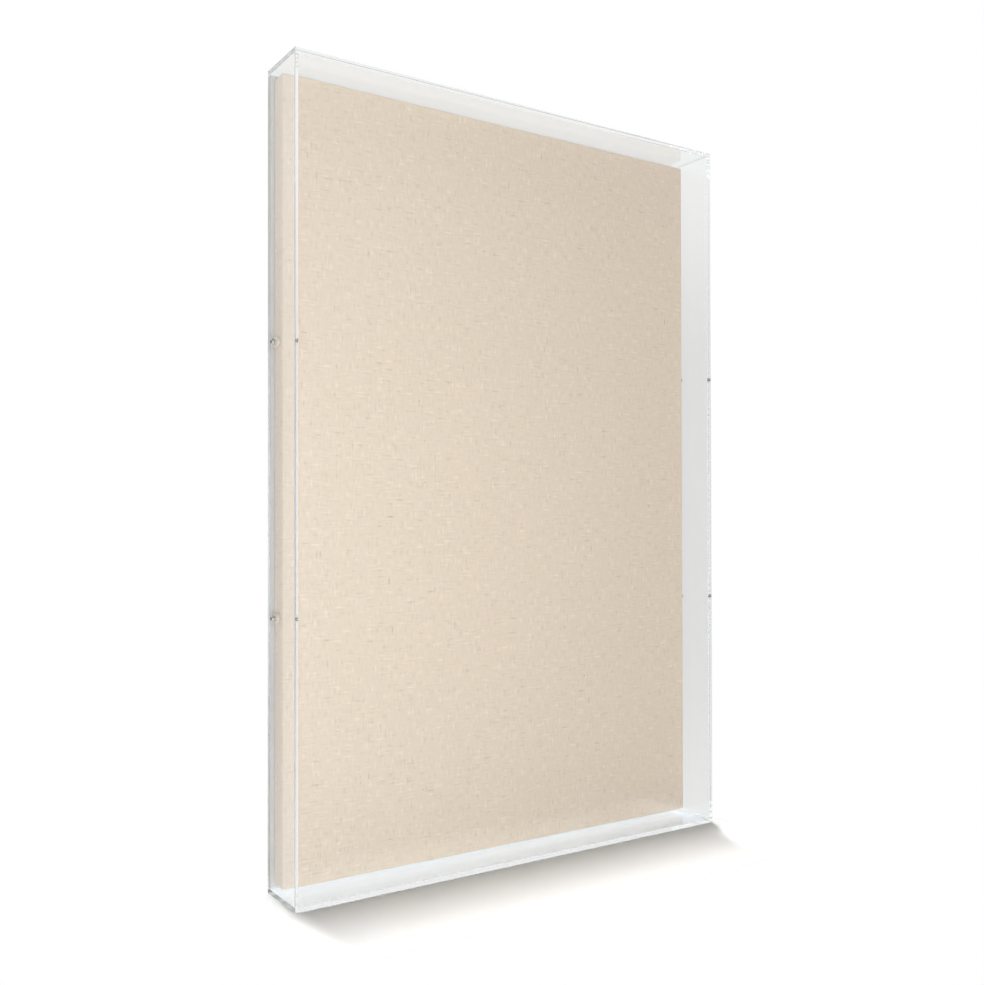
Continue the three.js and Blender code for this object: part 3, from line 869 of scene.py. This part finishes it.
class SHADOWBOX_OT_side_screws(bpy.types.Operator):
    """Makes the four side screws: button heads with a hexagon socket, and a thread that bites the rail."""

    bl_idname = "shadow_box.side_screws"
    bl_label = "Side Screws"

    crown = 2.2 * MM
    socket_flat = 1.5 * MM
    socket_depth = 2.4 * MM
    socket_tip = 3.0 * MM

    def execute(self, context):
        sizes = context.scene.shadow_box_sizes
        material = finish_named("steel_nickel_plated", nickel_plate, context.scene.shadow_box_colours)
        socket_shade = socket_painted_shade(context.scene.shadow_box_colours)
        # Faces inside the socket's corners and outside its tip take the dark socket finish, which is painted
        # shade.
        corner = self.socket_flat + 0.25 * MM
        foot = self.crown - self.socket_tip - 0.1 * MM
        for side, sign in SIDES:
            for level in LEVELS:
                node = f"{side}_{level}_screw"
                low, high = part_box(node)
                middle = (low + high) / 2
                seat = high.x - self.crown if sign > 0 else low.x + self.crown
                mesh = self.screw(sizes, high.x - low.x - self.crown)
                turn = Matrix.Rotation(-sign * math.pi / 2, 4, "Z")
                mesh.transform(Matrix.Translation((seat, middle.y, middle.z)) @ turn)
                add_piece(node + "_threaded", mesh, material, node, [node])
                mesh.materials.append(socket_shade)
                for face in mesh.polygons:
                    off_axis = math.hypot(face.center.y - middle.y, face.center.z - middle.z)
                    outward = sign * (face.center.x - seat)
                    face.material_index = int(outward > foot and off_axis < corner)
        return {"FINISHED"}

    def screw(self, sizes, reach):
        """A screw along Y with the seat of its head at 0, from its point to the bottom of its socket."""
        pitch, plain = sizes.thread_pitch, sizes.plain_shank
        shank = 2.0 * MM
        root = shank - sizes.thread_depth
        neck = root + 0.25 * MM
        head, flat, rim, chamfer, socket_chamfer = 3.8 * MM, 1.9 * MM, 0.6 * MM, 0.15 * MM, 0.12 * MM
        point, run_out, ridge_half = 4 * MM, 1.2 * MM, 0.3
        turns = full_turn(36)

        def thread(y, turn):
            taper = min(1, 0.12 + (y + reach) / point)
            fade = min(1, (-plain - y) / run_out)
            phase = (y / pitch - turn / (2 * math.pi)) % 1
            ridge = max(0, 1 - abs(phase - 0.5) / ridge_half)
            return (root + sizes.thread_depth * ridge * fade) * taper

        def hexagon(turn):
            return self.socket_flat / math.cos(turn % (math.pi / 3) - math.pi / 6)

        rings = [[Vector((0, -reach, 0))]]
        steps = round((reach - plain) / (pitch / 10))
        for step in range(1, steps + 1):
            y = -reach + (reach - plain) * step / steps
            rings.append(ring_about(y, turns, lambda turn: thread(y, turn)))
        outline = [(neck, -plain + run_out / 2), (neck, 0), (head - chamfer, 0), (head, chamfer)]
        outline += dome(head, flat, rim, self.crown, 8)
        rings += [circle(radius, y, turns) for radius, y in outline]
        for grow, drop in ((socket_chamfer, 0), (0, socket_chamfer), (0, self.socket_depth)):
            rings.append(ring_about(self.crown - drop, turns, lambda turn: hexagon(turn) + grow))
        rings.append([Vector((0, self.crown - self.socket_tip, 0))])
        mesh = to_mesh(skin(rings), "side_screw")
        soften(mesh, 40)
        return mesh


class SHADOWBOX_OT_spacers(bpy.types.Operator):
    """Makes the turned spacers between the wall and the slab. A thin collar on each lines the wall's hole."""

    bl_idname = "shadow_box.spacers"
    bl_label = "Spacers"

    def execute(self, context):
        material = natural_nylon(context.scene.shadow_box_colours)
        bore, collar, edge, recess = 2.05 * MM, 2.25 * MM, 0.3 * MM, 0.2 * MM
        turns = full_turn(FACETS)
        for side, sign in SIDES:
            for level in LEVELS:
                node = f"{side}_{level}_spacer"
                low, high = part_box(node)
                half = (high.x - low.x) / 2
                outer = (high.z - low.z) / 2
                # The collar stops a little inside the wall's outer face.
                tip = half + PANEL[1].x - recess - max(high.x, -low.x)
                profile = [
                    (bore, edge - half), (bore + edge, -half), (outer - edge, -half), (outer, edge - half),
                    (outer, half - edge), (outer - edge, half), (collar, half), (collar, tip), (bore, tip),
                ]
                rings = [circle(radius, y, turns) for radius, y in profile]
                mesh = to_mesh(skin(rings, looped=True), node)
                soften(mesh, 50)
                turn = Matrix.Rotation(-sign * math.pi / 2, 4, "Z")
                mesh.transform(Matrix.Translation((low + high) / 2) @ turn)
                add_piece(node + "_turned", mesh, material, "box", [node])
        return {"FINISHED"}


class SHADOWBOX_OT_back_plate(bpy.types.Operator):
    """Makes the white plate that closes the back, with its edges left as sawn."""

    bl_idname = "shadow_box.back_plate"
    bl_label = "Back Plate"

    def execute(self, context):
        colours = context.scene.shadow_box_colours
        mesh = rounded_copy("back_plate", context.scene.shadow_box_sizes.plate_arris)
        add_piece("back_plate_board", mesh, faced_hardboard(colours), "box", ["back_plate"])
        mesh.materials.append(sawn_hardboard(colours))
        for face in mesh.polygons:
            face.material_index = int(abs(face.normal.y) < 0.5)
        return {"FINISHED"}


class SHADOWBOX_OT_back_screws(bpy.types.Operator):
    """Makes the cross-recessed pan-head screws of the plate and the hangers."""

    bl_idname = "shadow_box.back_screws"
    bl_label = "Back Screws"

    def execute(self, context):
        material = finish_named("steel_nickel_plated", nickel_plate, context.scene.shadow_box_colours)
        crown = 1.8 * MM
        for number, node in enumerate(BACK_SCREWS):
            low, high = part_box(node)
            middle = (low + high) / 2
            mesh = self.screw(high.y - low.y - crown, crown)
            # Each screw stops at an angle of its own.
            turn = Matrix.Rotation(math.radians(37 * number % 90), 4, "Y")
            mesh.transform(Matrix.Translation((middle.x, high.y - crown, middle.z)) @ turn)
            add_piece(node + "_pan_head", mesh, material, "box", [node])
        return {"FINISHED"}

    def screw(self, reach, crown):
        """A screw along Y with the seat of its head at 0, from its point to the bottom of its recess."""
        shank, head, flat, rim, chamfer = 1.5 * MM, 3.0 * MM, 1.6 * MM, 0.6 * MM, 0.15 * MM
        arm, half_slot, recess_tip = 1.35 * MM, 0.3 * MM, 1.3 * MM
        corner = math.atan2(half_slot, arm)
        quarter = [-corner, 0, corner, *[math.radians(angle) for angle in (22, 34, 45, 56, 68)]]
        turns = [turn + math.pi / 2 * at for at in range(4) for turn in quarter]

        def cross(turn):
            """The cross's outline: the end of an arm, or past the arm's corner the side of a slot."""
            away = (turn + math.pi / 4) % (math.pi / 2) - math.pi / 4
            side = abs(math.sin(away))
            at_end = side * arm <= half_slot * math.cos(away) * 1.001
            return arm / math.cos(away) if at_end else half_slot / side

        outline = [(shank, shank - reach), (shank, 0), (head - chamfer, 0), (head, chamfer)]
        outline += dome(head, flat, rim, crown, 6)
        rings = [[Vector((0, -reach, 0))], *[circle(radius, y, turns) for radius, y in outline]]
        for scale, drop in ((1.0, 0.02 * MM), (0.95, 0.3 * MM), (0.7, 1.0 * MM)):
            rings.append(ring_about(crown - drop, turns, lambda turn: cross(turn) * scale))
        rings.append([Vector((0, crown - recess_tip, 0))])
        mesh = to_mesh(skin(rings), "pan_head_screw")
        soften(mesh, 40)
        return mesh


class SHADOWBOX_OT_hangers(bpy.types.Operator):
    """Makes the two hangers: a stamped strap and the wire ring that swings in it."""

    bl_idname = "shadow_box.hangers"
    bl_label = "Hangers"

    def execute(self, context):
        sizes = context.scene.shadow_box_sizes
        material = finish_named("steel_nickel_plated", nickel_plate, context.scene.shadow_box_colours)
        for side, _ in SIDES:
            strap = f"{side}_hanger_strap"
            mesh = rounded_copy(strap, sizes.strap_arris)
            add_piece(strap + "_stamped", mesh, material, "box", [strap])
            ring = f"{side}_hanger_ring"
            pivot = Vector(RING_JOINTS[f"{side}_ring"]["pos_m"])
            add_piece(ring + "_wire", self.ring(pivot), material, f"{side}_ring", [ring])
        return {"FINISHED"}

    def ring(self, pivot):
        """A wire bent into a D that hangs from its straight bar."""
        radius, drop, corner, wire = 11 * MM, 6 * MM, 3 * MM, 1.25 * MM
        bar_steps, corner_steps, bow_steps = 12, 8, 44
        bend = radius - corner
        path = [Vector((bend - 2 * bend * step / bar_steps, 0, 0)) for step in range(bar_steps)]
        arcs = [((-bend, -corner), corner, 90, 180, corner_steps), ((0, -drop), radius, 180, 360, bow_steps),
                ((bend, -corner), corner, 0, 90, corner_steps)]
        for (x, z), size, start, end, steps in arcs:
            for step in range(steps + 1):
                turn = math.radians(start + (end - start) * step / steps)
                path.append(Vector((x + size * math.cos(turn), 0, z + size * math.sin(turn))))
        points = [point for at, point in enumerate(path) if (point - path[at - 1]).length > WELD]
        rings = []
        for at, point in enumerate(points):
            along = (points[(at + 1) % len(points)] - points[at - 1]).normalized()
            out = Vector((-along.z, 0, along.x))
            rings.append([pivot + point + out * wire * math.cos(turn) + Vector((0, wire * math.sin(turn), 0))
                          for turn in full_turn(16)])
        mesh = to_mesh(skin(rings, looped=True), "hanger_ring")
        mesh.shade_smooth()
        return mesh


class SHADOWBOX_OT_bumpers(bpy.types.Operator):
    """Makes the moulded rubber bumpers at the corners of the back."""

    bl_idname = "shadow_box.bumpers"
    bl_label = "Bumpers"

    def execute(self, context):
        material = moulded_rubber(context.scene.shadow_box_colours)
        chamfer, flat = 0.2 * MM, 4 * MM
        for end in ENDS:
            for side, _ in SIDES:
                node = f"bumper_{end}_{side}"
                low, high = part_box(node)
                radius = (high.x - low.x) / 2
                height = high.y - low.y
                profile = [(0, 0), (radius - chamfer, 0), (radius, chamfer),
                           *dome(radius, flat, height / 2, height, 10), (0, height)]
                mesh = turned(profile, node)
                mesh.transform(Matrix.Translation(((low.x + high.x) / 2, low.y, (low.z + high.z) / 2)))
                add_piece(node + "_moulded", mesh, material, "box", [node])
        return {"FINISHED"}


OPERATORS = (
    SHADOWBOX_OT_stage,
    SHADOWBOX_OT_cover,
    SHADOWBOX_OT_linen,
    SHADOWBOX_OT_slab_core,
    SHADOWBOX_OT_side_screws,
    SHADOWBOX_OT_spacers,
    SHADOWBOX_OT_back_plate,
    SHADOWBOX_OT_back_screws,
    SHADOWBOX_OT_hangers,
    SHADOWBOX_OT_bumpers,
)


class SHADOWBOX_PT_sidebar(bpy.types.Panel):
    """Lists the pieces of the shadow box in the order that they are made."""

    bl_idname = "SHADOWBOX_PT_sidebar"
    bl_label = "Shadow Box"
    bl_space_type = "VIEW_3D"
    bl_region_type = "UI"
    bl_category = "Shadow Box"

    def draw(self, context):
        for operator in OPERATORS:
            self.layout.operator(operator.bl_idname)
        for group in (context.scene.shadow_box_sizes, context.scene.shadow_box_colours,
                      context.scene.shadow_box_stage):
            for name in group.__annotations__:
                self.layout.prop(group, name)


CLASSES = (ShadowBoxSizes, ShadowBoxColours, ShadowBoxStage, *OPERATORS, SHADOWBOX_PT_sidebar)


def register():
    for made in CLASSES:
        bpy.utils.register_class(made)
    bpy.types.Scene.shadow_box_sizes = PointerProperty(type=ShadowBoxSizes)
    bpy.types.Scene.shadow_box_colours = PointerProperty(type=ShadowBoxColours)
    bpy.types.Scene.shadow_box_stage = PointerProperty(type=ShadowBoxStage)


def unregister():
    del bpy.types.Scene.shadow_box_stage
    del bpy.types.Scene.shadow_box_colours
    del bpy.types.Scene.shadow_box_sizes
    for made in reversed(CLASSES):
        bpy.utils.unregister_class(made)


def main():
    register()
    bpy.ops.shadow_box.stage()
    bpy.ops.shadow_box.cover()
    bpy.ops.shadow_box.linen()
    bpy.ops.shadow_box.slab_core()
    bpy.ops.shadow_box.side_screws()
    bpy.ops.shadow_box.spacers()
    bpy.ops.shadow_box.back_plate()
    bpy.ops.shadow_box.back_screws()
    bpy.ops.shadow_box.hangers()
    bpy.ops.shadow_box.bumpers()


if __name__ == "__main__":
    main()
